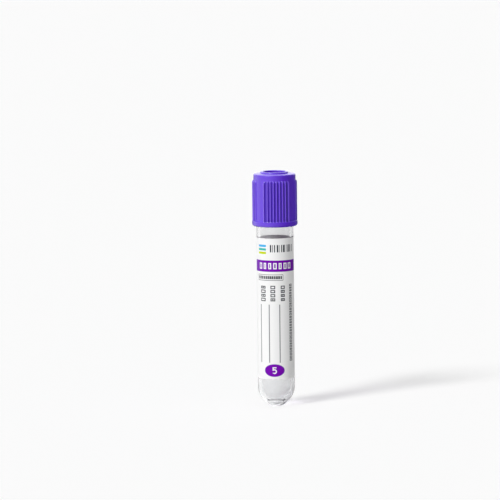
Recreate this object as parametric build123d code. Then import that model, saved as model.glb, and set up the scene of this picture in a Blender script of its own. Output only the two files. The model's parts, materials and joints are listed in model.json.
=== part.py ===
from build123d import *
import os
from math import cos, radians, sin

# Blood collection tube, 13 x 75 mm, with a ribbed cap over a rubber stopper.
# It stands on the small flat foot under its round bottom, with its axis along +Z.
# The origin is the middle of the foot, on the surface, and the label's front faces -Y.
# All sizes are in millimetres, and heights are above that surface.

# ---- driving dimensions: moulded tube -----------------------------------------------------------
TUBE_RADIUS = 6.5
TUBE_LENGTH = 75.0
BORE_RADIUS_MOUTH = 5.4
BORE_RADIUS_BOTTOM = 5.2
DOME_CENTRE = 6.75              # height of the outer dome's centre above the foot
BORE_DOME_CENTRE = 7.1          # height of the bore's round end's centre, so the bottom is the thickest
FOOT_RADIUS = 1.6               # outside of the flat ring under the foot
FOOT_ROUNDING = 1.9
FOOT_SIDE_TURN = 46.0           # slope of the foot's cone, in degrees from level
FOOT_JOIN_RADIUS = 4.6          # where the foot's cone meets the outer dome
GATE_RADIUS = 0.7               # shallow recess that the moulding gate leaves in the foot
GATE_DEPTH = 0.15
CUP_TURN = 63.0                 # how far down the bore's round end reaches, in degrees
CUP_RIM_ROUNDING = 0.8          # rounding between the round end and the small cup in its middle
CUP_SIDE_TURN = 25.0            # lean of the cup's side, in degrees from upright
CUP_RADIUS = 0.75               # flat floor of the cup
CUP_ROUNDING = 1.05
CUP_FLOOR = 0.85
MOUTH_ROUNDING = 0.3

# ---- driving dimensions: label and additive -----------------------------------------------------
LABEL_LOW = 10.1
LABEL_LENGTH = 50.1
LABEL_THICKNESS = 0.06
LABEL_GAP = 1.0                 # bare strip at the back, between the label's two ends
COATING_THICKNESS = 0.05
COATING_TOP = 16.0

# ---- driving dimensions: cap --------------------------------------------------------------------
CAP_LOW = 64.15
CAP_HIGH = 83.4
CAP_RADIUS = 7.45
COLLAR_RADIUS = 8.05
COLLAR_HEIGHT = 2.0
COLLAR_LOWER_ROUNDING = 0.8
COLLAR_UPPER_ROUNDING = 0.25
SKIRT_BORE_RADIUS = 6.65
SKIRT_LEAD_IN = 0.3
SHOULDER_ROUNDING = 0.4
SHOULDER_DROP = 0.75            # top face's outer edge below the lip
RECESS_DROP = 0.5               # top face beside the lip, below the lip
LIP_RADIUS = 5.0
LIP_ROUNDING = 0.3
PORT_RADIUS = 4.0
TOP_WALL = 1.2
SLEEVE_RADIUS = 5.0
SLEEVE_LOW = 79.9
SNAP_RING_RADIUS = 4.9
SNAP_RING_LOW = 77.35
SNAP_RING_HIGH = 78.3

# ---- driving dimensions: grip ribs --------------------------------------------------------------
RIB_WIDTH = 0.5
END_RIB_WIDTH = 0.62
RIB_CREST_RADIUS = 7.95
RIB_TOP = 80.5
RIB_TOP_ROUNDING = 1.0
PAD_TURN = 4.7                  # the front pad's middle, turned this far towards +X
FRONT_PAD = (-24.6, -16.4, -8.2, 0.0, 8.2, 16.4, 24.6)
FRONT_PAD_ENDS = (-34.8, 34.8)
SIDE_PAD = (-12.3, -4.1, 4.1, 12.3)
SIDE_PAD_ENDS = (-23.7, 23.7)

# ---- driving dimensions: rubber stopper ---------------------------------------------------------
PLUG_LOW = 66.6
PLUG_RADIUS = 5.05
SEAL_RADIUS = 5.34
SEAL_WIDTH = 1.6
SEAL_HEIGHTS = (69.2, 72.6)
WELL_RADIUS = 2.9
WELL_TOP = 73.4
FLANGE_LOW = 75.02
FLANGE_HIGH = 77.25
FLANGE_RADIUS = 6.4
NECK_RADIUS = 4.75
HEAD_LOW = 78.4
HEAD_HIGH = 79.8
HEAD_RADIUS = 5.65
TARGET_RADIUS = 2.4
TARGET_DEPTH = 0.5
STOPPER_ROUNDING = 0.3


def turned(outline):
    """Turn a closed half-outline of (radius, height) edges about the tube's axis."""
    return revolve(Plane.XZ * make_face(outline), Axis.Z)


def drum(radius, low, high):
    """A plain disc or drum on the tube's axis."""
    return Pos(0, 0, low) * Cylinder(radius, high - low, align=(Align.CENTER, Align.CENTER, Align.MIN))


def bore_radius(height):
    """The bore widens evenly from the dome to the mouth, so that the moulding core pulls out."""
    share = (height - BORE_DOME_CENTRE) / (TUBE_LENGTH - BORE_DOME_CENTRE)
    return BORE_RADIUS_BOTTOM + share * (BORE_RADIUS_MOUTH - BORE_RADIUS_BOTTOM)


def swing(centre, radius, start, end):
    """An arc of an outline about a centre; angles in degrees, 0 outwards and 90 up."""
    turns = [radians(start), radians((start + end) / 2), radians(end)]
    return ThreePointArc(*[(centre[0] + radius * cos(t), centre[1] + radius * sin(t)) for t in turns])


def bore_end(inset=0.0):
    """The bore's round end and the small cup in its middle, from the wall to the axis."""
    reach = BORE_RADIUS_BOTTOM + CUP_RIM_ROUNDING
    down = radians(CUP_TURN)
    rim_centre = (reach * cos(down), BORE_DOME_CENTRE - reach * sin(down))
    round_end = swing((0, BORE_DOME_CENTRE), BORE_RADIUS_BOTTOM - inset, 0, -CUP_TURN)
    rim = swing(rim_centre, CUP_RIM_ROUNDING + inset, 180 - CUP_TURN, 180 - CUP_SIDE_TURN)
    cup_centre = (CUP_RADIUS, CUP_FLOOR + CUP_ROUNDING)
    cup = swing(cup_centre, CUP_ROUNDING - inset, -CUP_SIDE_TURN, -90)
    return [round_end, rim, Line(rim @ 1, cup @ 0), cup, Line(cup @ 1, (0, CUP_FLOOR + inset))]


def edges_at(solid, height, radius):
    """The circular edges of a turned solid that have this height and radius."""
    circles = solid.edges().filter_by(GeomType.CIRCLE)
    return [e for e in circles if abs(e.center().Z - height) < 1e-4 and abs(e.radius - radius) < 1e-4]


def make_tube():
    """One clear moulding: round bottom with a small flat foot, drafted bore, rounded mouth."""
    join_height = DOME_CENTRE - (TUBE_RADIUS ** 2 - FOOT_JOIN_RADIUS ** 2) ** 0.5
    foot = swing((FOOT_RADIUS, FOOT_ROUNDING), FOOT_ROUNDING, -90, -FOOT_SIDE_TURN)
    outline = [
        Line((0, GATE_DEPTH), (GATE_RADIUS, GATE_DEPTH)),
        Line((GATE_RADIUS, GATE_DEPTH), (GATE_RADIUS, 0)),
        Line((GATE_RADIUS, 0), (FOOT_RADIUS, 0)),
        foot,
        Line(foot @ 1, (FOOT_JOIN_RADIUS, join_height)),
        RadiusArc((FOOT_JOIN_RADIUS, join_height), (TUBE_RADIUS, DOME_CENTRE), -TUBE_RADIUS),
        Line((TUBE_RADIUS, DOME_CENTRE), (TUBE_RADIUS, TUBE_LENGTH)),
        Line((TUBE_RADIUS, TUBE_LENGTH), (BORE_RADIUS_MOUTH, TUBE_LENGTH)),
        Line((BORE_RADIUS_MOUTH, TUBE_LENGTH), (BORE_RADIUS_BOTTOM, BORE_DOME_CENTRE)),
        *bore_end(),
        Line((0, CUP_FLOOR), (0, GATE_DEPTH)),
    ]
    tube = turned(outline)
    lips = edges_at(tube, TUBE_LENGTH, TUBE_RADIUS) + edges_at(tube, TUBE_LENGTH, BORE_RADIUS_MOUTH)
    return fillet(lips, MOUTH_ROUNDING)


def make_label():
    """A printed film label round the straight part of the tube, with a narrow bare strip at the back."""
    high = LABEL_LOW + LABEL_LENGTH
    ring = drum(TUBE_RADIUS + LABEL_THICKNESS, LABEL_LOW, high) - drum(TUBE_RADIUS, LABEL_LOW, high)
    strip = Pos(0, TUBE_RADIUS, LABEL_LOW + LABEL_LENGTH / 2) * Box(LABEL_GAP, TUBE_RADIUS, LABEL_LENGTH)
    return ring - strip


def make_additive_coating():
    """The dried anticoagulant: a thin skin on the bore's lower end and its round bottom."""
    skin_radius = BORE_RADIUS_BOTTOM - COATING_THICKNESS
    wall_radius = bore_radius(COATING_TOP)
    outline = [
        Line((0, CUP_FLOOR + COATING_THICKNESS), (0, CUP_FLOOR)),
        *bore_end(),
        Line((BORE_RADIUS_BOTTOM, BORE_DOME_CENTRE), (wall_radius, COATING_TOP)),
        Line((wall_radius, COATING_TOP), (wall_radius - COATING_THICKNESS, COATING_TOP)),
        Line((wall_radius - COATING_THICKNESS, COATING_TOP), (skin_radius, BORE_DOME_CENTRE)),
        *bore_end(COATING_THICKNESS),
    ]
    return turned(outline)


def make_stopper():
    """The rubber stopper: a sealing plug, a flange that sits on the mouth, a neck and a head."""
    body = drum(PLUG_RADIUS, PLUG_LOW, FLANGE_LOW) + drum(FLANGE_RADIUS, FLANGE_LOW, FLANGE_HIGH)
    body += drum(NECK_RADIUS, FLANGE_HIGH, HEAD_LOW) + drum(HEAD_RADIUS, HEAD_LOW, HEAD_HIGH)
    rounded = edges_at(body, PLUG_LOW, PLUG_RADIUS) + edges_at(body, HEAD_HIGH, HEAD_RADIUS)
    rounded += edges_at(body, FLANGE_HIGH, FLANGE_RADIUS) + edges_at(body, FLANGE_LOW, FLANGE_RADIUS)
    body = fillet(rounded, STOPPER_ROUNDING)
    for height in SEAL_HEIGHTS:
        seal = drum(SEAL_RADIUS, height - SEAL_WIDTH / 2, height + SEAL_WIDTH / 2)
        corners = edges_at(seal, height - SEAL_WIDTH / 2, SEAL_RADIUS)
        corners += edges_at(seal, height + SEAL_WIDTH / 2, SEAL_RADIUS)
        body += chamfer(corners, SEAL_RADIUS - PLUG_RADIUS)
    well_shoulder = WELL_TOP - WELL_RADIUS
    well = drum(WELL_RADIUS, PLUG_LOW, well_shoulder) + Pos(0, 0, well_shoulder) * Sphere(WELL_RADIUS)
    target = drum(TARGET_RADIUS, HEAD_HIGH - TARGET_DEPTH, HEAD_HIGH)
    return body - well - target


def make_cap_shell():
    """The cap without its ribs: skirt, collar, top wall, needle port with its lip, and snap ring."""
    top_outer = CAP_HIGH - SHOULDER_DROP
    top_inner = CAP_HIGH - RECESS_DROP
    ceiling = CAP_HIGH - RECESS_DROP - TOP_WALL
    collar_high = CAP_LOW + COLLAR_HEIGHT
    corners = [
        (SKIRT_BORE_RADIUS + SKIRT_LEAD_IN, CAP_LOW),
        (COLLAR_RADIUS, CAP_LOW),
        (COLLAR_RADIUS, collar_high),
        (CAP_RADIUS, collar_high),
        (CAP_RADIUS, top_outer),
        (LIP_RADIUS, top_inner),
        (LIP_RADIUS, CAP_HIGH),
        (PORT_RADIUS, CAP_HIGH),
        (PORT_RADIUS, SLEEVE_LOW),
        (SLEEVE_RADIUS, SLEEVE_LOW),
        (SLEEVE_RADIUS, ceiling),
        (SKIRT_BORE_RADIUS, ceiling),
        (SKIRT_BORE_RADIUS, SNAP_RING_HIGH),
        (SNAP_RING_RADIUS, SNAP_RING_HIGH),
        (SNAP_RING_RADIUS, SNAP_RING_LOW),
        (SKIRT_BORE_RADIUS, SNAP_RING_LOW),
        (SKIRT_BORE_RADIUS, CAP_LOW + SKIRT_LEAD_IN),
    ]
    shell = turned([Polyline(*corners, close=True)])
    shell = fillet(edges_at(shell, CAP_LOW, COLLAR_RADIUS), COLLAR_LOWER_ROUNDING)
    shell = fillet(edges_at(shell, collar_high, COLLAR_RADIUS), COLLAR_UPPER_ROUNDING)
    shell = fillet(edges_at(shell, top_outer, CAP_RADIUS), SHOULDER_ROUNDING)
    lip = edges_at(shell, CAP_HIGH, LIP_RADIUS) + edges_at(shell, CAP_HIGH, PORT_RADIUS)
    return fillet(lip, LIP_ROUNDING)


def make_rib(turn, width):
    """One upright grip rib with a round crest, turned from the front about the axis."""
    low = CAP_LOW + COLLAR_HEIGHT / 2
    root = (CAP_RADIUS + SKIRT_BORE_RADIUS) / 2
    crest_centre = RIB_CREST_RADIUS - width / 2
    bar = Pos(0, -(root + crest_centre) / 2, (low + RIB_TOP) / 2)
    rib = bar * Box(width, crest_centre - root, RIB_TOP - low)
    rib += Pos(0, -crest_centre, 0) * drum(width / 2, low, RIB_TOP)
    return Rot(0, 0, turn) * rib


def make_ribs():
    """Two wide pads of ribs, front and back, and two narrower pads at the sides."""
    pads = ((0, FRONT_PAD, FRONT_PAD_ENDS), (90, SIDE_PAD, SIDE_PAD_ENDS))
    ribs = []
    for half_turn in (0, 180):
        for pad_turn, inner, ends in pads:
            middle = PAD_TURN + half_turn + pad_turn
            ribs += [make_rib(middle + turn, RIB_WIDTH) for turn in inner]
            ribs += [make_rib(middle + turn, END_RIB_WIDTH) for turn in ends]
    return ribs


def make_cap():
    """The ribbed cap, one moulding: the ribs' upper ends are rounded off together."""
    cap = make_cap_shell()
    reach = drum(COLLAR_RADIUS, CAP_LOW, RIB_TOP)
    reach = fillet(edges_at(reach, RIB_TOP, COLLAR_RADIUS), RIB_TOP_ROUNDING)
    for rib in make_ribs():
        cap += rib & reach
    return cap


pieces = {
    "tube": make_tube(),
    "label": make_label(),
    "additive_coating": make_additive_coating(),
    "stopper": make_stopper(),
    "cap": make_cap(),
}

os.makedirs("parts", exist_ok=True)
for node, solid in pieces.items():
    export_step(solid, f"parts/{node}.step")
    print(node, "volume", round(solid.volume, 1), "mm3")
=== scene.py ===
# %% [markdown]
# # A blood collection tube, step by step
#
# The real object is five pieces: a clear moulded tube with a round bottom, a printed film label, a dried
# skin of anticoagulant in the bottom of the bore, a rubber stopper and a ribbed violet cap that snaps
# over it. The packed model already fixes every size and every joint, so this script only gives the pieces
# their finished surfaces.
#
# The first lines load that model and keep its record. The finished pieces have to stay inside it.

# %% Load the fixed frame
import json
from math import asin, cos, pi, radians, sin, sqrt

import bmesh
import bpy
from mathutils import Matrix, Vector


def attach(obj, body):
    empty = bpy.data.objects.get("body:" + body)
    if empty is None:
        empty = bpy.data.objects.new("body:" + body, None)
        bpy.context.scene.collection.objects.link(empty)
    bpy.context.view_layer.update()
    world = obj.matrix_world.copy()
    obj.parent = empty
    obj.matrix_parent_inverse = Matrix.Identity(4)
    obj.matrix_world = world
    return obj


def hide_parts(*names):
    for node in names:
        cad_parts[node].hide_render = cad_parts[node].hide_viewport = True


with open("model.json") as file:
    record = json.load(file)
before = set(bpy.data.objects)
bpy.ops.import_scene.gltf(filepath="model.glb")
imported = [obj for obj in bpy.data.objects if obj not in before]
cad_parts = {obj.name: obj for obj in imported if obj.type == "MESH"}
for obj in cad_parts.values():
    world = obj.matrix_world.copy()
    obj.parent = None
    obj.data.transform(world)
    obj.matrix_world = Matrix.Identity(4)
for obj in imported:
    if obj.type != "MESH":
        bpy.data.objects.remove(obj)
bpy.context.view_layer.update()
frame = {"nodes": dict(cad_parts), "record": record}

# %% [markdown]
# ## Where things are
#
# The tube stands on its foot with its axis along Z, so every place on it is a height, a radius and a turn
# about the axis. The turn is counted from the label's front, which faces -Y, towards +X. Lathe work is
# easiest to read in millimetres, so one function changes a place into Blender's metres. The main heights
# and radii are measured on the packed nodes, and not typed in again.

# %% Places on the tube, in millimetres
MM = 0.001


def place(radius, height, turn=0.0):
    """A point at a radius and height in millimetres, turned by degrees from the label's front."""
    across = radians(turn)
    return Vector((radius * sin(across), -radius * cos(across), height)) * MM


def measure(node):
    """A packed node's lowest height, highest height and largest radius, in millimetres."""
    points = [vertex.co / MM for vertex in frame["nodes"][node].data.vertices]
    heights = [point.z for point in points]
    return min(heights), max(heights), max(point.xy.length for point in points)


def turn_of(point):
    """How far round the axis a point is from the label's front, in radians."""
    return Vector((-point.y, point.x)).angle_signed(Vector((1, 0)), 0.0)


TUBE_LOW, TUBE_HIGH, TUBE_RADIUS = measure("tube")
LABEL_LOW, LABEL_HIGH, LABEL_RADIUS = measure("label")
CAP_LOW, CAP_HIGH, COLLAR_RADIUS = measure("cap")
PLUG_LOW, HEAD_HIGH, FLANGE_RADIUS = measure("stopper")
COATING_HIGH = measure("additive_coating")[1]
mounts = {mount["name"]: mount for mount in frame["record"]["mounts"]}
PORT_RADIUS = mounts["needle_port"]["dims"]["r_mm"]
print("tube", TUBE_LOW, TUBE_HIGH, TUBE_RADIUS, "cap", CAP_LOW, CAP_HIGH, COLLAR_RADIUS)

# %% [markdown]
# ## The camera
#
# The view is from the front and a little above, with a long lens, so the tube's sides stay almost
# parallel. The camera leans by half a degree. It looks past the tube, up and to the left, so that the
# tube stands right of the middle and low in the picture.

# %% Camera
VIEW_DISTANCE = 1.8
VIEW_WIDTH = 0.1771
VIEW_ELEVATION = 6.5
VIEW_ROLL = 0.57
SENSOR_WIDTH = 36.0
VIEW_END = 100.0
AIM = Vector((-0.0089, 0.0, 0.0555))


def make_camera():
    """A long lens that frames VIEW_WIDTH metres at the tube."""
    rise = radians(VIEW_ELEVATION)
    back = Vector((0.0, -cos(rise), sin(rise)))
    bpy.ops.object.camera_add(location=AIM + back * VIEW_DISTANCE)
    camera = bpy.context.object
    camera.name = "camera"
    camera.data.sensor_width = SENSOR_WIDTH
    camera.data.lens = SENSOR_WIDTH * VIEW_DISTANCE / VIEW_WIDTH
    camera.data.clip_end = VIEW_END
    turned = (-back).to_track_quat("-Z", "Y").to_euler()
    turned.rotate_axis("Z", -radians(VIEW_ROLL))
    camera.rotation_euler = turned
    bpy.context.scene.camera = camera
    return camera


camera = make_camera()
print("lens", round(camera.data.lens, 1), "mm")

# %% [markdown]
# ## A lathe made of operators
#
# All five pieces start as turned shapes. On a real lathe the profile is fixed and the work turns; here
# the profile is a chain of points that is extruded one step at a time and then spun about the axis.
# Spinning leaves the first and last profile on top of each other, and a pole's points all in one place,
# so doubles are merged before the normals are made to point outwards.

# %% Lathe helpers
MERGE = 1e-7
CREASE = 35.0


def arc(centre_radius, centre_height, radius, start, end, steps):
    """Points on an arc of a profile; angles in degrees, 0 outwards and 90 up."""
    angles = [radians(start + (end - start) * step / steps) for step in range(steps + 1)]
    return [(centre_radius + radius * cos(a), centre_height + radius * sin(a)) for a in angles]


def run(start, end, steps):
    """Evenly spaced points on a straight stretch of a profile, without its first point."""
    shares = [step / steps for step in range(1, steps + 1)]
    return [(start[0] + (end[0] - start[0]) * s, start[1] + (end[1] - start[1]) * s) for s in shares]


def deselect():
    """Nothing selected, so that the next operator acts on its own piece only."""
    bpy.ops.object.select_all(action="DESELECT")


def spin_profile(name, profile, steps, turn=360.0, start=0.0, closed=False):
    """Extrude a profile of (radius, height) points and spin it about the axis into a mesh."""
    deselect()
    bpy.ops.mesh.primitive_plane_add(size=MM, location=(0, 0, 0))
    piece = bpy.context.object
    piece.name = name
    bpy.ops.object.mode_set(mode="EDIT")
    bpy.ops.mesh.merge(type="CENTER")
    bpy.ops.transform.translate(value=place(*profile[0], start))
    for before, after in zip(profile, profile[1:]):
        step = place(*after, start) - place(*before, start)
        bpy.ops.mesh.extrude_region_move(TRANSFORM_OT_translate={"value": step})
    bpy.ops.mesh.select_all(action="SELECT")
    if closed:
        mesh = bmesh.from_edit_mesh(piece.data)
        ends = [vertex for vertex in mesh.verts if len(vertex.link_edges) == 1]
        mesh.edges.new(ends)
        bmesh.update_edit_mesh(piece.data)
    bpy.ops.mesh.spin(steps=steps, angle=radians(turn), center=(0, 0, 0), axis=(0, 0, 1))
    bpy.ops.mesh.select_all(action="SELECT")
    bpy.ops.mesh.remove_doubles(threshold=MERGE)
    bpy.ops.mesh.normals_make_consistent(inside=False)
    bpy.ops.object.mode_set(mode="OBJECT")
    piece.data.name = name
    return piece


def finish_piece(piece, body, nodes, crease=CREASE):
    """Shade a piece, put its object at the origin and tie it to the packed model."""
    deselect()
    piece.select_set(True)
    bpy.context.view_layer.objects.active = piece
    bpy.ops.object.transform_apply(location=True, rotation=True, scale=True)
    bpy.ops.object.shade_smooth_by_angle(angle=radians(crease))
    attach(piece, body)
    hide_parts(*nodes)
    print(piece.name, len(piece.data.polygons), "faces")
    return piece


print("a quarter round in 3 steps:", [(round(x, 2), round(z, 2)) for x, z in arc(0, 0, 1, 0, 90, 3)])

# %% [markdown]
# ## The clear tube
#
# The tube is one injection moulding. Its outside is a straight cylinder that ends in a dome, and the dome
# runs out into a short cone with a small flat foot, where the gate leaves a shallow recess. The bore is a
# little narrower at the bottom, because the moulding core has to pull out. Its round end has a small cup
# in the middle with a rounded rim, so that the wall over the foot isn't too thick. Real light bends at
# both walls, so the outline has many points on its arcs. The bore's end is a function of its own, because
# the additive's skin follows it.

# %% Clear tube
DOME_CENTRE = 6.75
BORE_DOME_CENTRE = 7.1
BORE_MOUTH = 5.4
BORE_BOTTOM = 5.2
FOOT_RADIUS = 1.6
FOOT_ROUNDING = 1.9
FOOT_SIDE_TURN = 46
FOOT_JOIN = 4.6
GATE_RADIUS = 0.6
GATE_DEPTH = 0.15
GATE_ROUNDING = 0.1
CUP_TURN = 63
CUP_RIM_ROUNDING = 0.8
CUP_SIDE_TURN = 25
CUP_RADIUS = 0.75
CUP_ROUNDING = 1.05
CUP_FLOOR = 0.85
LIP_ROUNDING = 0.3
TUBE_STEPS = 192


def bore_end(inset=0.0):
    """Down the bore's round end, over the rim of the cup in its middle, and to the axis."""
    reach = BORE_BOTTOM + CUP_RIM_ROUNDING
    down = radians(CUP_TURN)
    rim_centre = (reach * cos(down), BORE_DOME_CENTRE - reach * sin(down))
    outline = arc(0, BORE_DOME_CENTRE, BORE_BOTTOM - inset, 0, -CUP_TURN, 30)
    outline += arc(*rim_centre, CUP_RIM_ROUNDING + inset, 180 - CUP_TURN, 180 - CUP_SIDE_TURN, 8)[1:]
    outline += arc(CUP_RADIUS, CUP_FLOOR + CUP_ROUNDING, CUP_ROUNDING - inset, -CUP_SIDE_TURN, -90, 12)
    return outline + [(0, CUP_FLOOR + inset)]


def tube_outline():
    """The tube's closed half-section, from the gate recess round the outside and down the bore."""
    join = asin(FOOT_JOIN / TUBE_RADIUS) * 180 / pi
    outline = [(0, GATE_DEPTH), (GATE_RADIUS, GATE_DEPTH)]
    outline += arc(GATE_RADIUS + 2 * GATE_ROUNDING, GATE_ROUNDING, GATE_ROUNDING, 215, 270, 4)
    outline += arc(FOOT_RADIUS, FOOT_ROUNDING, FOOT_ROUNDING, 272, 360 - FOOT_SIDE_TURN, 24)
    outline += arc(0, DOME_CENTRE, TUBE_RADIUS, join - 90, 0, 36)
    outline += run((TUBE_RADIUS, DOME_CENTRE), (TUBE_RADIUS, TUBE_HIGH - LIP_ROUNDING), 10)
    outline += arc(TUBE_RADIUS - LIP_ROUNDING, TUBE_HIGH - LIP_ROUNDING, LIP_ROUNDING, 0, 90, 8)[1:]
    outline += arc(BORE_MOUTH + LIP_ROUNDING, TUBE_HIGH - LIP_ROUNDING, LIP_ROUNDING, 90, 180, 8)
    outline += run((BORE_MOUTH, TUBE_HIGH - LIP_ROUNDING), (BORE_BOTTOM, BORE_DOME_CENTRE), 10)
    return outline + bore_end()[1:]


tube = spin_profile("clear_tube", tube_outline(), TUBE_STEPS)
finish_piece(tube, "tube", ["tube"])

# %% [markdown]
# ## The label
#
# The label is a thin film with a printed face. A cylinder with a Solidify modifier would do, but a tall
# thin closed outline, spun most of the way round, gives the face, the inside and the rims at once. The
# two ends that this leaves open are filled. A UV map holds millimetres along the film and millimetres
# above the foot, so that the print can be laid out later as a printer would, on the flat film. The film's
# inside and its edges all get one place below the foot, which marks them as unprinted.

# %% Label film
LABEL_GAP_TURN = 9.0
FILM_CLEARANCE = 0.01
LABEL_ROWS = 24
LABEL_STEPS = 176
UNPRINTED = (0.0, -20.0)
FACING = 0.5


def map_film(piece):
    """Write the distance round the printed face and the height, both in millimetres, into the UV map."""
    layer = piece.data.uv_layers[0] if piece.data.uv_layers else piece.data.uv_layers.new(name="film")
    layer.name = "film"
    for polygon in piece.data.polygons:
        printed_face = polygon.normal.dot(polygon.center) > FACING * polygon.center.xy.length
        for index in polygon.loop_indices:
            point = piece.data.vertices[piece.data.loops[index].vertex_index].co / MM
            layer.data[index].uv = (turn_of(point) * LABEL_RADIUS, point.z) if printed_face else UNPRINTED


def make_label():
    """The film round the tube, open by a narrow strip at the back."""
    outer = LABEL_RADIUS
    inner = TUBE_RADIUS + FILM_CLEARANCE
    profile = [(inner, LABEL_LOW), (outer, LABEL_LOW)]
    profile += run((outer, LABEL_LOW), (outer, LABEL_HIGH), LABEL_ROWS)
    profile += [(inner, LABEL_HIGH)]
    profile += run((inner, LABEL_HIGH), (inner, LABEL_LOW), LABEL_ROWS)[:-1]
    start = LABEL_GAP_TURN / 2 - 180
    piece = spin_profile("label_film", profile, LABEL_STEPS, 360 - LABEL_GAP_TURN, start, closed=True)
    bpy.ops.object.mode_set(mode="EDIT")
    bpy.ops.mesh.select_all(action="DESELECT")
    bpy.ops.mesh.select_non_manifold(extend=False)
    bpy.ops.mesh.fill()
    bpy.ops.mesh.select_all(action="SELECT")
    bpy.ops.mesh.normals_make_consistent(inside=False)
    bpy.ops.object.mode_set(mode="OBJECT")
    map_film(piece)
    return piece


label = make_label()
finish_piece(label, "tube", ["label"])

# %% [markdown]
# ## The dried additive
#
# The anticoagulant is sprayed into the tube and dries on the lower wall. It is too thin to see as a body,
# but it takes some shine off the bore. It could be left to the tube's own material, but as a very thin
# closed skin just inside the bore it ends at the height where the real coat ends.

# %% Additive skin
SKIN = 0.04
SKIN_CLEARANCE = 0.01
SKIN_STEPS = 128


def bore_radius(height):
    """The bore's radius at a height above its round end."""
    share = (height - BORE_DOME_CENTRE) / (TUBE_HIGH - BORE_DOME_CENTRE)
    return BORE_BOTTOM + share * (BORE_MOUTH - BORE_BOTTOM)


def skin_outline():
    """Up the outside of the skin and down its inside."""
    outer = BORE_BOTTOM - SKIN_CLEARANCE
    inner = outer - SKIN
    top = bore_radius(COATING_HIGH) - SKIN_CLEARANCE
    outline = bore_end(SKIN_CLEARANCE)[::-1]
    outline += run((outer, BORE_DOME_CENTRE), (top, COATING_HIGH), 6)
    outline += [(top - SKIN, COATING_HIGH)]
    outline += run((top - SKIN, COATING_HIGH), (inner, BORE_DOME_CENTRE), 6)
    return outline + bore_end(SKIN_CLEARANCE + SKIN)[1:]


skin = spin_profile("additive_skin", skin_outline(), SKIN_STEPS)
finish_piece(skin, "tube", ["additive_coating"])

# %% [markdown]
# ## The rubber stopper
#
# The stopper's plug has two sealing rings, its flange sits on the tube's mouth, and its head is held by
# the cap's snap ring. Only the needle target in the middle of the head shows from outside, until the
# closure is pulled. Stacked cylinders would have to be joined and would leave hard steps, so it is one
# turned outline too.

# %% Stopper
WELL_RADIUS = 2.9
WELL_TOP = 73.4
WELL_ROUNDING = 0.2
TARGET_RADIUS = 2.4
TARGET_DEPTH = 0.5
TARGET_EDGE = 0.25
TARGET_CORNER = 0.2
TARGET_CROWN = (0.96, 0.06)
PLUG_RADIUS = 5.05
SEAL_RADIUS = 5.34
SEAL_HEIGHTS = (69.2, 72.6)
SEAL_HALF = 0.8
SEAL_ROWS = 10
FLANGE_LOW = 75.02
FLANGE_HIGH = 77.25
NECK_RADIUS = 4.75
HEAD_LOW = 78.4
HEAD_RADIUS = 5.65
EDGE = 0.3
STOPPER_STEPS = 128
STOPPER_CREASE = 50.0


def stopper_outline():
    """Up the blind well, out over the plug, flange, neck and head, and into the needle target."""
    outline = arc(0, WELL_TOP - WELL_RADIUS, WELL_RADIUS, 90, 0, 18)
    outline += [(WELL_RADIUS, PLUG_LOW + WELL_ROUNDING)]
    outline += arc(WELL_RADIUS + WELL_ROUNDING, PLUG_LOW + WELL_ROUNDING, WELL_ROUNDING, 180, 270, 5)
    outline += arc(PLUG_RADIUS - EDGE, PLUG_LOW + EDGE, EDGE, 270, 360, 6)
    for height in SEAL_HEIGHTS:
        swell = SEAL_RADIUS - PLUG_RADIUS
        rows = [step / SEAL_ROWS for step in range(-SEAL_ROWS, SEAL_ROWS + 1)]
        outline += [(PLUG_RADIUS + swell * sqrt(1 - row * row), height + SEAL_HALF * row) for row in rows]
    outline += [(PLUG_RADIUS, FLANGE_LOW)]
    outline += arc(FLANGE_RADIUS - EDGE, FLANGE_LOW + EDGE, EDGE, 270, 360, 6)
    outline += arc(FLANGE_RADIUS - EDGE, FLANGE_HIGH - EDGE, EDGE, 0, 90, 6)
    outline += [(NECK_RADIUS, FLANGE_HIGH), (NECK_RADIUS, HEAD_LOW)]
    outline += [(HEAD_RADIUS, HEAD_LOW)]
    outline += arc(HEAD_RADIUS - EDGE, HEAD_HIGH - EDGE, EDGE, 0, 90, 6)
    outline += arc(TARGET_RADIUS + TARGET_EDGE, HEAD_HIGH - TARGET_EDGE, TARGET_EDGE, 90, 180, 6)
    target = HEAD_HIGH - TARGET_DEPTH
    outline += arc(TARGET_RADIUS - TARGET_CORNER, target + TARGET_CORNER, TARGET_CORNER, 0, -90, 6)
    return outline + [(TARGET_CROWN[0], target), (0, target + TARGET_CROWN[1])]


stopper = spin_profile("rubber_stopper", stopper_outline(), STOPPER_STEPS)
finish_piece(stopper, "stopper", ["stopper"], STOPPER_CREASE)

# %% [markdown]
# ## The ribbed cap
#
# The cap is one moulding: a skirt with a rounded collar, a top wall, and a raised lip round the needle
# port. Inside it a sleeve and a snap ring hold the stopper's head. Without its ribs it is a turned shape
# like the others, so it starts as one closed outline. The outline has close rows of points at the height
# where the ribs end, because the ribs are raised out of the skirt in the next step.

# %% Cap outline
CAP_RADIUS = 7.45
COLLAR_HEIGHT = 2.0
COLLAR_LOWER = 0.8
COLLAR_UPPER = 0.25
SKIRT_BORE = 6.65
LEAD_IN = 0.3
SHOULDER = 0.4
SHOULDER_DROP = 0.75
RECESS_DROP = 0.5
PORT_LIP_RADIUS = 5.0
TOP_WALL = 1.2
SLEEVE_RADIUS = 5.0
SLEEVE_LOW = 79.9
SNAP_RADIUS = 4.9
SNAP_LOW = 77.35
SNAP_HIGH = 78.3
LIP_FILLET = 0.15
LIP_FILLET_RISE = 0.13
RIB_TOP = 80.5
RIB_TOP_ROUNDING = 1.1
RIB_ROOT = 0.12
RIB_ROWS = (0.25, 0.3, 0.2)


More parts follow.
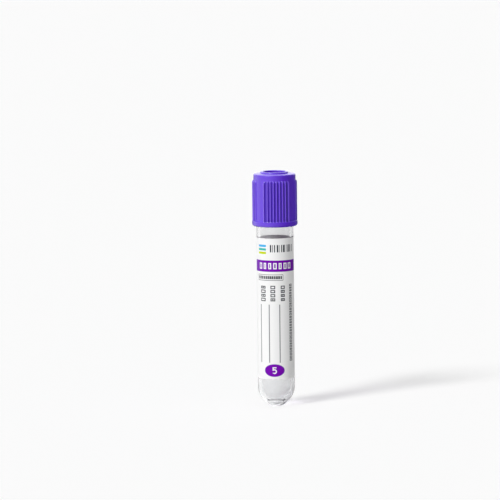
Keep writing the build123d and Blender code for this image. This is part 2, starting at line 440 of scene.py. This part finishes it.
def cap_outline():
    """The closed half-section of the cap, without its ribs."""
    collar_high = CAP_LOW + COLLAR_HEIGHT
    top_outer = CAP_HIGH - SHOULDER_DROP
    top_inner = CAP_HIGH - RECESS_DROP
    ceiling = top_inner - TOP_WALL
    above_collar, below_rounding, above_ribs = RIB_ROWS
    ribs_low = collar_high + above_collar
    ribs_high = RIB_TOP - RIB_TOP_ROUNDING - below_rounding
    outline = [(SKIRT_BORE + LEAD_IN, CAP_LOW)]
    outline += arc(COLLAR_RADIUS - COLLAR_LOWER, CAP_LOW + COLLAR_LOWER, COLLAR_LOWER, -90, 0, 8)
    outline += arc(COLLAR_RADIUS - COLLAR_UPPER, collar_high - COLLAR_UPPER, COLLAR_UPPER, 0, 90, 5)
    outline += arc(CAP_RADIUS + RIB_ROOT, collar_high + RIB_ROOT, RIB_ROOT, 270, 180, 4)
    outline += [(CAP_RADIUS, ribs_low)]
    outline += run((CAP_RADIUS, ribs_low), (CAP_RADIUS, ribs_high), 4)
    outline += run((CAP_RADIUS, ribs_high), (CAP_RADIUS, RIB_TOP + above_ribs), 14)
    outline += arc(CAP_RADIUS - SHOULDER, top_outer - SHOULDER, SHOULDER, 0, 84, 8)
    outline += arc(PORT_LIP_RADIUS + LIP_FILLET, top_inner + LIP_FILLET_RISE, LIP_FILLET, 265, 185, 4)
    outline += arc(PORT_LIP_RADIUS - EDGE, CAP_HIGH - EDGE, EDGE, 0, 90, 6)
    outline += arc(PORT_RADIUS + EDGE, CAP_HIGH - EDGE, EDGE, 90, 180, 6)
    outline += [(PORT_RADIUS, SLEEVE_LOW), (SLEEVE_RADIUS, SLEEVE_LOW), (SLEEVE_RADIUS, ceiling)]
    outline += [(SKIRT_BORE, ceiling), (SKIRT_BORE, SNAP_HIGH), (SNAP_RADIUS, SNAP_HIGH)]
    outline += [(SNAP_RADIUS, SNAP_LOW), (SKIRT_BORE, SNAP_LOW), (SKIRT_BORE, CAP_LOW + LEAD_IN)]
    return outline


print("cap outline", len(cap_outline()), "points")

# %% [markdown]
# ### The ribs
#
# The cap's grip is four pads of upright ribs with smooth lands between them. A rib has a round crest,
# small fillets at its roots and a rounded upper end, and the end ribs of each pad lean inwards at the
# top. Joining thirty little bars to a turned skirt leaves hard creases, so the ribs are raised out of the
# skirt itself instead: the spin has a step every third of a degree, and each point of the outer wall is
# moved outwards by the height of the rib there. Two attributes keep each point's share of groove and of
# crest, for the cap's roughness and for the painted shade and painted highlight in its colour.

# %% Cap with its ribs
RIB_HEIGHT = 0.5
RIB_HALF_WIDTH = 0.25
RIB_POWER = 4
CREST_START = 0.75
END_LEAN = 0.5
PAD_TURN = 4.7
FRONT_PAD = (-34.8, -24.6, -16.4, -8.2, 0.0, 8.2, 16.4, 24.6, 34.8)
SIDE_PAD = (-23.7, -12.3, -4.1, 4.1, 12.3, 23.7)
TOUCH = 0.01
CAP_STEPS = 1080
CAP_CREASE = 50.0


def rib_rise(turn, height):
    """How far the grip stands out at a turn and a height, and its shares of groove and of crest."""
    over = max(0.0, height - (RIB_TOP - RIB_TOP_ROUNDING)) / RIB_TOP_ROUNDING
    if over >= 1:
        return 0.0, 0.0, 0.0
    end = sqrt(1 - over * over)
    quarter = round((turn - PAD_TURN) / 90)
    pad = SIDE_PAD if quarter % 2 else FRONT_PAD
    around = turn - PAD_TURN - 90 * quarter
    rise = 0.0
    for rib in pad:
        lean = END_LEAN * (1 - end) * (1 if rib < 0 else -1) if abs(rib) == max(pad) else 0.0
        across = radians(around - rib) * CAP_RADIUS - lean
        rise = max(rise, RIB_HEIGHT / (1 + (across / RIB_HALF_WIDTH) ** RIB_POWER))
    groove = 1 - rise / RIB_HEIGHT if abs(around) < max(pad) else 0.0
    crest = max(0.0, rise / RIB_HEIGHT - CREST_START) / (1 - CREST_START)
    return rise * end, groove * end, crest * end


def raise_ribs(piece):
    """Move the skirt's outer wall outwards onto the ribs, and mark their grooves and crests."""
    low = CAP_LOW + COLLAR_HEIGHT - COLLAR_UPPER
    high = RIB_TOP + RIB_ROWS[2] / 2
    names = [piece.data.attributes.new(name, "FLOAT", "POINT").name for name in ("groove", "crest")]
    grooves, crests = (piece.data.attributes[name].data for name in names)
    known = {}
    for vertex in piece.data.vertices:
        point = vertex.co / MM
        radius = point.xy.length
        if radius < CAP_RADIUS - TOUCH or not low < point.z < high:
            continue
        turn = turn_of(point) * 180 / pi
        key = (round(turn, 3), round(point.z, 3))
        if key not in known:
            known[key] = rib_rise(turn, point.z)
        rise, grooves[vertex.index].value, crests[vertex.index].value = known[key]
        target = max(radius, CAP_RADIUS + rise)
        vertex.co.x *= target / radius
        vertex.co.y *= target / radius


def make_cap():
    """The cap's turned shell with its ribs raised."""
    piece = spin_profile("ribbed_cap", cap_outline(), CAP_STEPS, closed=True)
    raise_ribs(piece)
    return piece


cap = make_cap()
finish_piece(cap, "cap", ["cap"], CAP_CREASE)

# %% [markdown]
# ## Shader maths as Python
#
# A pattern in a material is a formula, and a formula is easier to read as an expression than as a picture
# of nodes. A Wire stands for one output socket, and each Python operator on it adds the Math node that
# does that sum.


# %% Wires
class Wire:
    """An output socket that can be used in a Python sum."""

    def __init__(self, finish, socket):
        self.finish = finish
        self.socket = socket

    def math(self, operation, *values):
        return self.finish.add("ShaderNodeMath", {"operation": operation}, dict(enumerate(values)))

    def __add__(self, other):
        return self.math("ADD", self, other)

    def __sub__(self, other):
        return self.math("SUBTRACT", self, other)

    def __rsub__(self, other):
        return self.math("SUBTRACT", other, self)

    def __mul__(self, other):
        return self.math("MULTIPLY", self, other)

    def __truediv__(self, other):
        return self.math("DIVIDE", self, other)

    def __abs__(self):
        return self.math("ABSOLUTE", self)

    def __neg__(self):
        return 0.0 - self

    __radd__ = __add__
    __rmul__ = __mul__

    def larger(self, other):
        return self.math("MAXIMUM", self, other)

    def smaller(self, other):
        return self.math("MINIMUM", self, other)

    def clamped(self):
        return self.smaller(1.0).larger(0.0)

    def root(self):
        return self.math("SQRT", self)

    def whole(self):
        return self.math("FLOOR", self)


print("a wire can also be", [name for name in vars(Wire) if not name.startswith("_")])

# %% [markdown]
# ### One class for every material
#
# A Finish is one material. Values that are the same all over go straight to the shader's sockets, and what
# varies over the surface is linked to one by vary. Every node comes from the one method, add, so a
# pattern needs no node names and no places in an editor.


# %% Finishes
class Finish:
    """One material: its Principled shader's fixed values, and the nodes that vary over the surface."""

    def __init__(self, name, **fixed):
        self.material = bpy.data.materials.new(name)
        self.material.use_nodes = True
        self.nodes = self.material.node_tree.nodes
        self.links = self.material.node_tree.links
        self.shader = self.nodes["Principled BSDF"]
        for socket, value in fixed.items():
            self.shader.inputs[socket.replace("_", " ")].default_value = value

    def add(self, kind, settings=None, sockets=None, output=0):
        """Add a node: its settings first, then the value or link of each named socket."""
        node = self.nodes.new(kind)
        for name, value in (settings or {}).items():
            if name == "stops":
                self.set_stops(node.color_ramp, value)
            else:
                setattr(node, name, value)
        for name, value in (sockets or {}).items():
            self.feed(node.inputs[name], value)
        return Wire(self, node.outputs[output])

    def set_stops(self, ramp, stops):
        """Give a colour ramp its stops, as (position, colour) pairs."""
        while len(ramp.elements) < len(stops):
            ramp.elements.new(1.0)
        for element, (position, colour) in zip(ramp.elements, stops):
            element.position = position
            element.color = (*colour, 1.0)

    def feed(self, socket, value):
        """Link a Wire to a socket, or set the socket's own value."""
        if isinstance(value, Wire):
            self.links.new(value.socket, socket)
        else:
            socket.default_value = value

    def vary(self, socket, wire):
        """Let a value vary over the surface at one of the shader's sockets."""
        self.links.new(wire.socket, self.shader.inputs[socket])

    def noise(self, scale, detail=3.0, roughness=0.5, stretch=(1.0, 1.0, 1.0)):
        """Noise in the piece's own millimetres, from 0 to 1; stretch lengthens its grains."""
        spot = self.add("ShaderNodeTexCoord", output="Object")
        sizes = [scale / (length * MM) for length in stretch]
        placed = self.add("ShaderNodeMapping", {}, {"Vector": spot, "Scale": sizes})
        sockets = {"Vector": placed, "Scale": 1.0, "Detail": detail, "Roughness": roughness}
        return self.add("ShaderNodeTexNoise", {}, sockets)

    def axis(self, vector, name):
        """One axis of a vector."""
        return self.add("ShaderNodeSeparateXYZ", {}, {"Vector": vector}, output=name)

    def ray(self, kind):
        """1 where a ray of this kind sees the surface, and 0 for any other ray."""
        return self.add("ShaderNodeLightPath", output=f"Is {kind} Ray")

    def mix(self, share, first, second):
        """Two colours mixed by a share."""
        settings = {"data_type": "RGBA"}
        first, second = (value if isinstance(value, Wire) else (*value, 1.0) for value in (first, second))
        return self.add("ShaderNodeMix", settings, {"Factor": share, 6: first, 7: second}, output=2)

    def bump(self, height, strength, distance):
        """A bump of this distance in millimetres, feeding the shader's Normal."""
        sockets = {"Height": height, "Strength": strength, "Distance": distance * MM}
        self.vary("Normal", self.add("ShaderNodeBump", {}, sockets))

    def pass_lamps(self, tint):
        """Let lamp light through to what is behind the piece, dimmed by this tint at each face."""
        opening = self.add("ShaderNodeBsdfTransparent", {}, {"Color": (*tint, 1.0)})
        plain = Wire(self, self.shader.outputs[0])
        mixed = self.add("ShaderNodeMixShader", {}, {0: self.ray("Shadow"), 1: plain, 2: opening})
        self.links.new(mixed.socket, self.nodes["Material Output"].inputs["Surface"])

    def absorb(self, colour, density):
        """Dim the light by the length of its way through the plastic; the density is for each metre."""
        inside = self.add("ShaderNodeVolumeAbsorption", {}, {"Color": (*colour, 1.0), "Density": density})
        self.links.new(inside.socket, self.nodes["Material Output"].inputs["Volume"])

    def on(self, piece):
        """Give the piece this finish."""
        piece.data.materials.clear()
        piece.data.materials.append(self.material)
        print(piece.name, "has", self.material.name, "with", len(self.nodes), "nodes")


print("a finish can", [name for name in vars(Finish) if not name.startswith("_")])

# %% [markdown]
# ### Colours
#
# A colour is easiest to choose as screen values from 0 to 255, but a shader works in linear light. The
# change from one to the other is the usual screen curve.


# %% Screen colours
def linear(red, green, blue):
    """A colour given in screen values from 0 to 255, as the shader's linear light."""
    shares = [value / 255 for value in (red, green, blue)]
    return tuple(s / 12.92 if s <= 0.04045 else ((s + 0.055) / 1.055) ** 2.4 for s in shares)


print("a screen value of 128 is", round(linear(128, 128, 128)[0], 3), "in linear light")

# %% [markdown]
# ## Clear plastic
#
# Clear polyester is glassy but not as perfect as glass. It has a high index of refraction, a trace of
# grey, and a polish that wavers a little where the melt flowed. Alpha would only fade it, but the edges
# of a real tube are drawn by bent and reflected light, so the shader transmits, and the mesh has both of
# its true walls. A lamp's shadow rays can't bend. They pass straight through instead, with a light tint,
# and a volume takes up a little light where the plastic is thick.

# %% Clear plastic on the tube
CLEAR_POLISH = 0.005
CLEAR_WAVER = 0.03
CLEAR_TINT = (0.9, 0.9, 0.91)
CLEAR_SHADE = (0.2, 0.2, 0.22)
CLEAR_DENSITY = 40.0
CLEAR_FLOW = 0.4
CLEAR_DRAW = (1, 1, 6)
CLEAR_GREY = (0.88, 0.885, 0.89, 1)
clear = Finish("clear_polyester", Base_Color=CLEAR_GREY, Transmission_Weight=1.0, IOR=1.55)
clear.vary("Roughness", clear.noise(CLEAR_FLOW, stretch=CLEAR_DRAW) * CLEAR_WAVER + CLEAR_POLISH)
clear.pass_lamps(CLEAR_TINT)
clear.absorb(CLEAR_SHADE, CLEAR_DENSITY)
clear.on(tube)

# %% [markdown]
# ## Cap plastic
#
# The cap is satin polyethylene, coloured right through. Its surface comes from a spark-eroded mould, so
# it has a very fine grain, and the melt's flow leaves a faint long cloudiness. The colour is one hue with
# a little drift. The mould can't be polished between the ribs, so the grooves there are duller, and
# handling polishes the ribs' crests, which come out shinier. The colour also has painted shade in the
# grooves, darker for the shade that falls between the ribs, and a painted highlight on the crests, paler
# for the light they catch.

# %% Violet plastic on the cap
VIOLET = linear(88, 36, 206)
VIOLET_DEEP = linear(80, 30, 194)
VIOLET_PAINTED_SHADE = linear(58, 17, 160)
VIOLET_PAINTED_HIGHLIGHT = linear(116, 80, 216)
FLOW_SCALE = 0.25
FLOW_DRAW = (1, 1, 5)
FLOW_ROUGHNESS = 0.06
GRAIN_SCALE = 9.0
GRAIN_ROUGHNESS = 0.05
GRAIN_STRENGTH = 0.25
GRAIN_DEPTH = 0.02
GROOVE_ROUGHNESS = 0.35
CREST_POLISH = 0.06
CAP_ROUGHNESS = 0.2
violet = Finish("violet_polyethylene", IOR=1.5, Specular_IOR_Level=0.5)
flow = violet.noise(FLOW_SCALE, stretch=FLOW_DRAW)
grain = violet.noise(GRAIN_SCALE, detail=2.0)
groove = violet.add("ShaderNodeAttribute", {"attribute_name": "groove"}, output="Fac")
crest = violet.add("ShaderNodeAttribute", {"attribute_name": "crest"}, output="Fac")
# Painted shade: the grooves' colour is darker, for the shade that falls between the ribs.
skirt_colour = violet.mix(groove, violet.mix(flow, VIOLET, VIOLET_DEEP), VIOLET_PAINTED_SHADE)
# Painted highlight: the crests' colour is paler, for the light that the crests catch.
violet.vary("Base Color", violet.mix(crest, skirt_colour, VIOLET_PAINTED_HIGHLIGHT))
wear = groove * GROOVE_ROUGHNESS - crest * CREST_POLISH
violet.vary("Roughness", flow * FLOW_ROUGHNESS + grain * GRAIN_ROUGHNESS + wear + CAP_ROUGHNESS)
violet.bump(grain, GRAIN_STRENGTH, GRAIN_DEPTH)
violet.on(cap)

# %% [markdown]
# ## Stopper rubber
#
# The stopper is grey butyl rubber. It is matt, with a fine speckle of filler. One flat grey would look
# like paint, so the speckle drives the colour, the roughness and a small bump together.

# %% Grey rubber on the stopper
RUBBER_DARK = linear(96, 92, 98)
RUBBER_PALE = linear(124, 120, 126)
RUBBER_ROUGHNESS = 0.5
SPECKLE_SCALE = 6.0
SPECKLE_ROUGHNESS = 0.2
SPECKLE_STRENGTH = 0.3
SPECKLE_DEPTH = 0.02
rubber = Finish("grey_butyl", Specular_IOR_Level=0.35)
speckle = rubber.noise(SPECKLE_SCALE, detail=4.0)
rubber.vary("Base Color", rubber.mix(speckle, RUBBER_DARK, RUBBER_PALE))
rubber.vary("Roughness", speckle * SPECKLE_ROUGHNESS + RUBBER_ROUGHNESS)
rubber.bump(speckle, SPECKLE_STRENGTH, SPECKLE_DEPTH)
rubber.on(stopper)

# %% [markdown]
# ## Dried additive
#
# What dries on the wall is a faint, patchy haze, so most of the skin's surface is left clear. A white
# coat all over would hide the wall behind it, so the patches only set a low alpha.

# %% Haze on the additive skin
HAZE_WHITE = (0.9, 0.9, 0.9, 1)
PATCH_SCALE = 0.7
PATCH_ALPHA = 0.1
PATCH_START = 0.03
haze = Finish("dried_additive", Base_Color=HAZE_WHITE, Roughness=0.6)
patches = haze.noise(PATCH_SCALE, detail=6.0)
haze.vary("Alpha", (patches * PATCH_ALPHA - PATCH_START).clamped())
haze.on(skin)

# %% [markdown]
# ## The printed label
#
# The film is white and satin. Its print is laid out flat, in millimetres round the film and up the tube,
# from shapes that are each one formula: the distance to the shape's edge, cut off over the width of a
# slightly soft ink edge. Words and marks are plain blocks and bars, and the filled oval holds a plain
# number. Thin film lets some light through: a lamp is dimmed by it and not stopped. The film's inside and
# edges also get a faint painted glow, an emission that stands in for light coming through the film, and
# that glow is what shows above the label's rim, through the clear neck.

# %% Print shapes
INK_EDGE = 0.06
film = Finish("label_film", IOR=1.48, Specular_IOR_Level=0.1, Emission_Strength=1.0)
film_map = film.add("ShaderNodeUVMap", {"uv_map": "film"})
along = film.axis(film_map, "X")
up = film.axis(film_map, "Y")


def inked(distance):
    """Ink where a distance in millimetres is below zero."""
    return (0.5 - distance / INK_EDGE).clamped()


def bar_distance(left, right, bottom, top, corner=0.0):
    """The distance from a bar with rounded corners, between four edges in millimetres."""
    across = abs(along - (left + right) / 2) - ((right - left) / 2 - corner)
    above = abs(up - (bottom + top) / 2) - ((top - bottom) / 2 - corner)
    if corner == 0:
        return across.larger(above)
    beside, beyond = across.larger(0.0), above.larger(0.0)
    return (beside * beside + beyond * beyond).root() + across.larger(above).smaller(0.0) - corner


def bar(left, right, bottom, top, corner=0.0):
    """A filled bar."""
    return inked(bar_distance(left, right, bottom, top, corner))


def frame_line(left, right, bottom, top, corner, width):
    """The outline of a bar."""
    return inked(abs(bar_distance(left, right, bottom, top, corner)) - width / 2)


def oval(centre_along, centre_up, half_width, half_height):
    """A filled oval."""
    across = (along - centre_along) / half_width
    above = (up - centre_up) / half_height
    return inked(((across * across + above * above).root() - 1.0) * half_height)


print("ink edges are soft over", INK_EDGE, "mm")

# %% [markdown]
# ### Words without letters
#
# A word of the form is a row of short blocks as high as its letters, with uneven gaps, which is how a
# layout artist marks text that isn't written yet. The blocks come from cutting the row into cells with
# Floor: a cell's own random number says how much of it is filled.

# %% Rows of blocks
BLOCK_SPREAD = 0.2
SEED_STEP = 17.0


def blocks(low, high, start, pitch, count, seed, fill=0.76, stroke=0.0, bars=0.5, on=up, beside=along):
    """Blocks that stand in for letters: so many of them along one axis, between two limits across it."""
    steps = (on - start) / pitch
    number = steps.whole()
    cell = number + seed * SEED_STEP
    chance = film.add("ShaderNodeTexWhiteNoise", {"noise_dimensions": "1D"}, {"W": cell})
    wide = abs(steps - number - 0.5) * pitch - (chance * BLOCK_SPREAD + fill - BLOCK_SPREAD / 2) * pitch / 2
    off_middle = abs(beside - (low + high) / 2)
    shape = wide.larger(off_middle - (high - low) / 2)
    if stroke:
        crossbar = off_middle - stroke / 2 + chance.math("GREATER_THAN", chance, bars) * pitch
        shape = (abs(shape + stroke / 2) - stroke / 2).smaller(crossbar.larger(wide))
    ends = abs(steps - count / 2) * pitch - count * pitch / 2
    return inked(shape.larger(ends))


print("film reaches", [round(value, 2) for value in (LABEL_LOW, LABEL_HIGH)], "mm up the tube")

# %% [markdown]
# ### The layout of the print
#
# From the top: a header with a colour mark of three stripes and a strip of upright code bars, the violet
# band that goes all round and tells the tube's type by its colour, a boxed note, three writing lines that
# run down the tube with a word above each, a column of small print at the right, and the filled oval with
# the volume's number.

# %% Inks and places of the print
INK_DARK = linear(38, 44, 56)
INK_WORDS = linear(66, 68, 74)
INK_GREY = linear(112, 112, 116)
INK_VIOLET = linear(112, 0, 166)
INK_BLUE = linear(70, 172, 228)
INK_TEAL = linear(60, 178, 170)
INK_LIME = linear(190, 208, 20)
FILM_WHITE = linear(236, 236, 236)
FILM_PAINTED_GLOW = (0.065, 0.05, 0.07)
FILM_TINT = (0.82, 0.8, 0.83)
BLACK = (0.0, 0.0, 0.0)
BAND = (48.35, 52.4)
BAND_REACH = 30.0
BAND_BLOCKS = (49.3, 51.5, -6.75, 1.88, 7, 6)
BAND_FILL = 0.62
BAND_STROKE = 0.38
HEADER = (55.3, 57.9)
STRIPES = ((57.5, INK_BLUE), (56.25, INK_TEAL), (55.0, INK_LIME))
STRIPE_SPAN = (-7.0, -3.4)
STRIPE_HEIGHT = 0.8
STRIPE_CORNER = 0.3
CODE_BARS = (0.0, 0.85, 1.5, 2.45, 3.2, 4.05, 4.75, 5.35, 6.3, 7.05, 7.7, 8.6)
CODE_WIDTHS = (0.5, 0.22, 0.36)
CODE_START = -1.9
NOTE_BOX = (-7.2, 2.76, 45.3, 47.3)
NOTE_CORNER = 0.15
NOTE_LINE = 0.2
NOTE_BLOCKS = (45.75, 46.85, -6.9, 0.78, 12, 4)
WORDS = ((-5.8, -3.75, 1), (-1.85, -0.15, 2), (1.85, 3.4, 3))
WORD_BLOCKS = (37.7, 1.46, 4)
WORD_STROKE = 0.34
LINES = (-5.85, -2.37, 1.42)
LINE_SPAN = (16.0, 36.7)
LINE_WIDTH = 0.33
SMALL_PRINT = (5.4, 6.8, 16.3, 0.95, 29, 5)
SMALL_STROKE = 0.26
OVAL = (-0.63, 13.2, 3.7, 2.25)
FIGURE = (2.4, 0.4)
print("band from", BAND[0], "to", BAND[1], "mm, writing lines", LINE_SPAN[1] - LINE_SPAN[0], "mm long")

# %% [markdown]
# ### The volume's number
#
# A font would have to become a mesh or an image. A five is simple enough to be the nearer of two
# straight strokes and a ring, and the ring is left open at the lower left.


# %% Figure five
def number_five(centre_along, centre_up, height, width):
    """A plain figure five from two straight strokes and a bowl."""
    high = centre_up + height / 2
    bowl = height * 0.35
    bowl_up = centre_up - height / 2 + bowl
    left = centre_along - bowl * 0.85
    top = bar_distance(left, centre_along + bowl * 0.8, high - width, high)
    back = bar_distance(left, left + width, bowl_up + bowl * 0.4, high)
    x = along - centre_along
    y = up - bowl_up
    ring = abs((x * x + y * y).root() - (bowl - width / 2)) - width / 2
    opening = bar_distance(left - bowl, centre_along, bowl_up - bowl * 0.5, bowl_up + bowl * 0.42)
    return inked(top.smaller(back).smaller(ring.larger(-opening)))


print("the five is", FIGURE[0], "mm high")

# %% [markdown]
# ### The printed face
#
# Inks are laid one over the other, as on a press: each layer is a mask and an ink. The share of ink is
# kept too, because ink is a little glossier than bare film. The film also ripples softly, since it is
# only glued on, and that ripple is a bump.


# %% Printed face
def print_film():
    """Lay the inks on the white film, and return the colour and the share of ink."""
    colour = FILM_WHITE
    ink = 0.0
    layers = [(bar(-BAND_REACH, BAND_REACH, *BAND), INK_VIOLET)]
    band_words = blocks(*BAND_BLOCKS, fill=BAND_FILL, stroke=BAND_STROKE, bars=0.0, on=along, beside=up)
    layers.append((band_words, FILM_WHITE))
    for middle, stripe in STRIPES:
        edges = (middle - STRIPE_HEIGHT / 2, middle + STRIPE_HEIGHT / 2)
        layers.append((bar(*STRIPE_SPAN, *edges, STRIPE_CORNER), stripe))
    for number, offset in enumerate(CODE_BARS):
        left = CODE_START + offset
        width = CODE_WIDTHS[number % len(CODE_WIDTHS)]
        layers.append((bar(left, left + width, *HEADER), INK_DARK))
    layers.append((frame_line(*NOTE_BOX, NOTE_CORNER, NOTE_LINE), INK_GREY))
    layers.append((blocks(*NOTE_BLOCKS, on=along, beside=up), INK_WORDS))
    for left, right, seed in WORDS:
        layers.append((blocks(left, right, *WORD_BLOCKS, seed, stroke=WORD_STROKE), INK_WORDS))
    for middle in LINES:
        layers.append((bar(middle - LINE_WIDTH / 2, middle + LINE_WIDTH / 2, *LINE_SPAN), INK_GREY))
    layers.append((blocks(*SMALL_PRINT, stroke=SMALL_STROKE), INK_WORDS))
    layers.append((oval(*OVAL), INK_VIOLET))
    layers.append((number_five(*OVAL[:2], *FIGURE), FILM_WHITE))
    for mask, tint in layers:
        colour = film.mix(mask, colour, tint)
        if tint is not FILM_WHITE:
            ink = mask.larger(ink)
    return colour, ink


FILM_ROUGHNESS = 0.42
INK_POLISH = 0.1
RIPPLE_SCALE = 0.25
RIPPLE_DRAW = (1, 1, 4)
RIPPLE_ROUGHNESS = 0.08
RIPPLE_SHARE = 0.9
FIBRE_SCALE = 7.0
FIBRE_SHARE = 0.1
FILM_STRENGTH = 0.3
FILM_DEPTH = 0.03
film_colour, film_ink = print_film()
ripple = film.noise(RIPPLE_SCALE, detail=2.0, stretch=RIPPLE_DRAW)
fibre = film.noise(FIBRE_SCALE, detail=2.0)
film.vary("Base Color", film_colour)
# Painted glow: the unprinted inside and edges emit a little light, standing in for light through the film.
film.vary("Emission Color", film.mix((-up).clamped(), BLACK, FILM_PAINTED_GLOW))
film.vary("Roughness", FILM_ROUGHNESS - film_ink * INK_POLISH + ripple * RIPPLE_ROUGHNESS)
film.bump(ripple * RIPPLE_SHARE + fibre * FIBRE_SHARE, FILM_STRENGTH, FILM_DEPTH)
film.pass_lamps(FILM_TINT)
film.on(label)

# %% [markdown]
# ## The floor, the world and the lamp
#
# The tube stands on a plain white floor under one soft sun from the front left. The floor keeps the
# tube's shadow. To the eye, and through clear plastic, it is lifted towards white by a share of emission.
# The world is white too, but light that comes through clear plastic sees it greyer overhead, and that
# difference draws the plastic's edges. It lights a little more from the right, as a white card there
# would. Gloss sees a studio of its own, in the floor and in the world: brightest at the left front, dark
# at the right front, and with a value of its own at the rear. It depends only on the direction, because a
# mirrored ray meets the floor far away.

# %% Floor
FLOOR_SIZE = 30.0
FLOOR_WHITE = 0.69
FLOOR_LIFT = 0.3
GLOSS_FRONT = 1.45
GLOSS_SLOPE = 1.75
GLOSS_MOST = 2.4
GLOSS_LEAST = 0.1
REAR_START = 0.4
FLOOR_REAR = 0.12


def surround(side, behind, rear):
    """How bright gloss sees the studio in a direction, with a value of its own at the rear."""
    front = (GLOSS_FRONT - side * GLOSS_SLOPE).smaller(GLOSS_MOST).larger(GLOSS_LEAST)
    share = ((behind - REAR_START) / (1.0 - REAR_START)).clamped()
    return front + share * (rear - front)


def make_floor():
    """A wide white floor at the tube's foot, with its own brightness for gloss."""
    deselect()
    bpy.ops.mesh.primitive_plane_add(size=FLOOR_SIZE, location=(0, 0, 0))
    floor = bpy.context.object
    floor.name = "floor"
    paint = Finish("floor_white", Roughness=0.9, Specular_IOR_Level=0.0, Emission_Strength=1.0)
    spot = paint.add("ShaderNodeTexCoord", output="Object")
    way = paint.add("ShaderNodeVectorMath", {"operation": "NORMALIZE"}, {0: spot})
    seen = paint.ray("Camera").larger(paint.ray("Transmission"))
    mirrored = paint.ray("Glossy") * (1.0 - paint.ray("Transmission"))
    glow = seen * FLOOR_LIFT + mirrored * surround(paint.axis(way, "X"), paint.axis(way, "Y"), FLOOR_REAR)
    paint.vary("Base Color", paint.mix(mirrored, (FLOOR_WHITE,) * 3, BLACK))
    paint.vary("Emission Color", paint.add("ShaderNodeCombineXYZ", {}, {"X": glow, "Y": glow, "Z": glow}))
    paint.on(floor)
    return floor


floor = make_floor()

# %% World
WORLD_LIGHT = 0.45
SIDE_FILL = 0.2
GLASS_SKY = (
    (0.5, (1.0, 1.0, 1.0)),
    (0.56, (0.75, 0.75, 0.76)),
    (0.75, (0.6, 0.6, 0.61)),
    (1.0, (0.55, 0.55, 0.56)),
)
TOP_START = 0.5
TOP_SPAN = 0.4
TOP_LIFT = 1.0
SKY_REAR = 1.9
WHITE = (1.0, 1.0, 1.0)


class World(Finish):
    """The world's own nodes, made and linked in the same way as a finish's."""

    def __init__(self, name):
        world = bpy.data.worlds.new(name)
        world.use_nodes = True
        bpy.context.scene.world = world
        self.nodes = world.node_tree.nodes
        self.links = world.node_tree.links
        self.shader = self.nodes["Background"]


def make_world():
    """A white world, greyer overhead through clear plastic, with its own brightness for gloss."""
    world = World("studio")
    way = world.add("ShaderNodeTexCoord", output="Generated")
    side = world.axis(way, "X")
    height = world.axis(way, "Z")
    overhead = ((height - TOP_START) / TOP_SPAN).clamped() * TOP_LIFT
    gloss = surround(side, world.axis(way, "Y"), SKY_REAR) + overhead
    diffuse = (side.clamped() * SIDE_FILL + 1.0) * WORLD_LIGHT
    through = world.ray("Transmission")
    direct = world.ray("Camera").larger(through)
    sky = world.add("ShaderNodeValToRGB", {"stops": GLASS_SKY}, {"Fac": height * 0.5 + 0.5})
    world.vary("Color", world.mix(through, WHITE, sky))
    world.vary("Strength", direct + (1.0 - direct) * (world.ray("Glossy") * (gloss - diffuse) + diffuse))
    return world


make_world()
print("world", bpy.context.scene.world.name, "with", len(bpy.context.scene.world.node_tree.nodes), "nodes")

# %% [markdown]
# ### The lamp
#
# An area lamp would show as a rectangle in the clear walls and the satin cap. A sun with a wide angle
# gives the same soft shadow, and its reflection is left to what gloss sees. Light may bounce many times,
# because it crosses many faces in the thick clear bottom.

# %% Lamp
KEY_STRENGTH = 2.4
KEY_ANGLE = 16.0
KEY_TURN = -42.0
KEY_RISE = 40.0
LIGHT_BOUNCES = 32


def add_sun(name, turn, rise, strength, angle):
    """A soft lamp at a turn from the front towards +X, and a rise above the floor, both in degrees."""
    bpy.ops.object.light_add(type="SUN", location=(0, 0, 1))
    lamp = bpy.context.object
    lamp.name = name
    lamp.data.energy = strength
    lamp.data.angle = radians(angle)
    across, above = radians(turn), radians(rise)
    towards = Vector((sin(across) * cos(above), -cos(across) * cos(above), sin(above)))
    lamp.rotation_euler = towards.to_track_quat("Z", "Y").to_euler()
    return lamp


add_sun("key", KEY_TURN, KEY_RISE, KEY_STRENGTH, KEY_ANGLE)
bpy.context.scene.view_settings.view_transform = "Standard"
for limit in ("max_bounces", "glossy_bounces", "transmission_bounces", "transparent_max_bounces"):
    setattr(bpy.context.scene.cycles, limit, LIGHT_BOUNCES)
